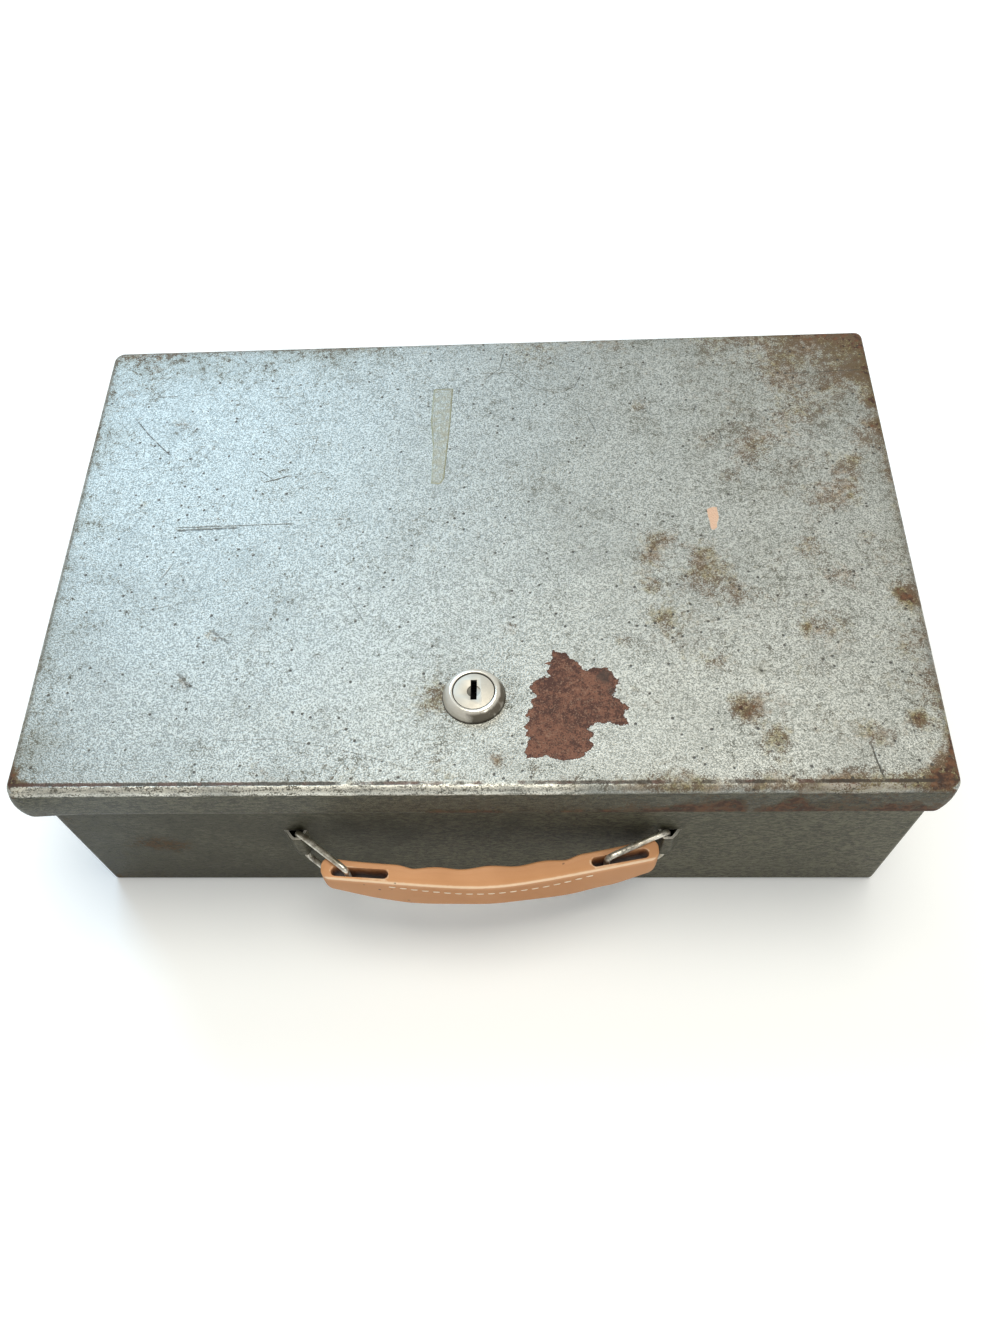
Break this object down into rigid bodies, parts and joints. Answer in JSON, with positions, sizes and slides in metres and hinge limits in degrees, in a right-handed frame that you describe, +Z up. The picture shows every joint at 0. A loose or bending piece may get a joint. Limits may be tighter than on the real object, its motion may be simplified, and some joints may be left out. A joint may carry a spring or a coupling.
{
  "type": "deed box",
  "caption": "Shallow steel deed box with an overlapping hinged lid, a cam lock in the lid and a moulded handle hung on wire links at the front.",
  "frame": {"origin": "centre of the base's underside", "axes": "+X to the right along the box's width, +Y to the back, +Z up; the front panel with the handle faces -Y"},
  "size_m": [0.324, 0.2361, 0.0962],
  "materials": {
    "body_paint": "grey-green hammertone enamel over steel, worn and rust-spotted",
    "lid_paint": "silver-grey hammertone enamel over steel, scratched, chipped to red-brown primer and rust",
    "hinge_steel": "steel hinge painted over with the body",
    "pin_steel": "drawn steel wire",
    "lock_chrome": "dulled chrome plate",
    "lock_nickel": "warm satin nickel, worn",
    "wafer_brass": "stamped brass",
    "zinc_steel": "zinc-plated steel",
    "link_wire": "dull galvanised wire with tarnish",
    "grip_plastic": "tan moulded plastic with pale stitch marks"
  },
  "bodies": {
    "base": {"base_tray": "body_paint", "left_end_panel": "body_paint", "right_end_panel": "body_paint", "strike_plate": "body_paint", "hinge_base_leaf": "hinge_steel", "hinge_pin": "pin_steel"},
    "lid": {"lid_shell": "lid_paint", "hinge_lid_leaf": "hinge_steel", "lock_housing": "lock_chrome", "lock_nut": "zinc_steel"},
    "plug": {"lock_plug": "lock_nickel", "lock_wafers": "wafer_brass", "wafer_springs": "pin_steel", "stop_washer": "zinc_steel", "lock_cam": "zinc_steel", "cam_washer": "zinc_steel", "cam_screw": "zinc_steel"},
    "handle": {"handle_grip": "grip_plastic"},
    "link_left": {"left_link": "link_wire"},
    "link_right": {"right_link": "link_wire"}
  },
  "joints": [
    {"name": "lid_hinge", "type": "hinge", "parent": "base", "child": "lid", "pos_m": [0, 0.1065, 0.0719], "axis": [-1, 0, 0], "range_deg": [0, 175]},
    {"name": "lock_turn", "type": "hinge", "parent": "lid", "child": "plug", "pos_m": [-0.0011, -0.0715, 0.08], "axis": [0, 0, 1], "range_deg": [0, 90]},
    {"name": "handle_pull", "type": "slide", "parent": "base", "child": "handle", "axis": [-0.5328, -0.8462, 0], "range_m": [0, 0.0063]},
    {"name": "left_link_swing", "type": "hinge", "parent": "base", "child": "link_left", "pos_m": [-0.069, -0.1059, 0.0455], "axis": [0, 0, -1], "range_deg": [0, 17.6]},
    {"name": "right_link_swing", "type": "hinge", "parent": "base", "child": "link_right", "pos_m": [0.069, -0.1059, 0.0455], "axis": [0, 0, 1], "range_deg": [0, 11.5]}
  ],
  "couplings": [
    {"joint": "left_link_swing", "follows": "handle_pull", "rad_per_m": 48.21},
    {"joint": "right_link_swing", "follows": "handle_pull", "rad_per_m": 31.38}
  ]
}
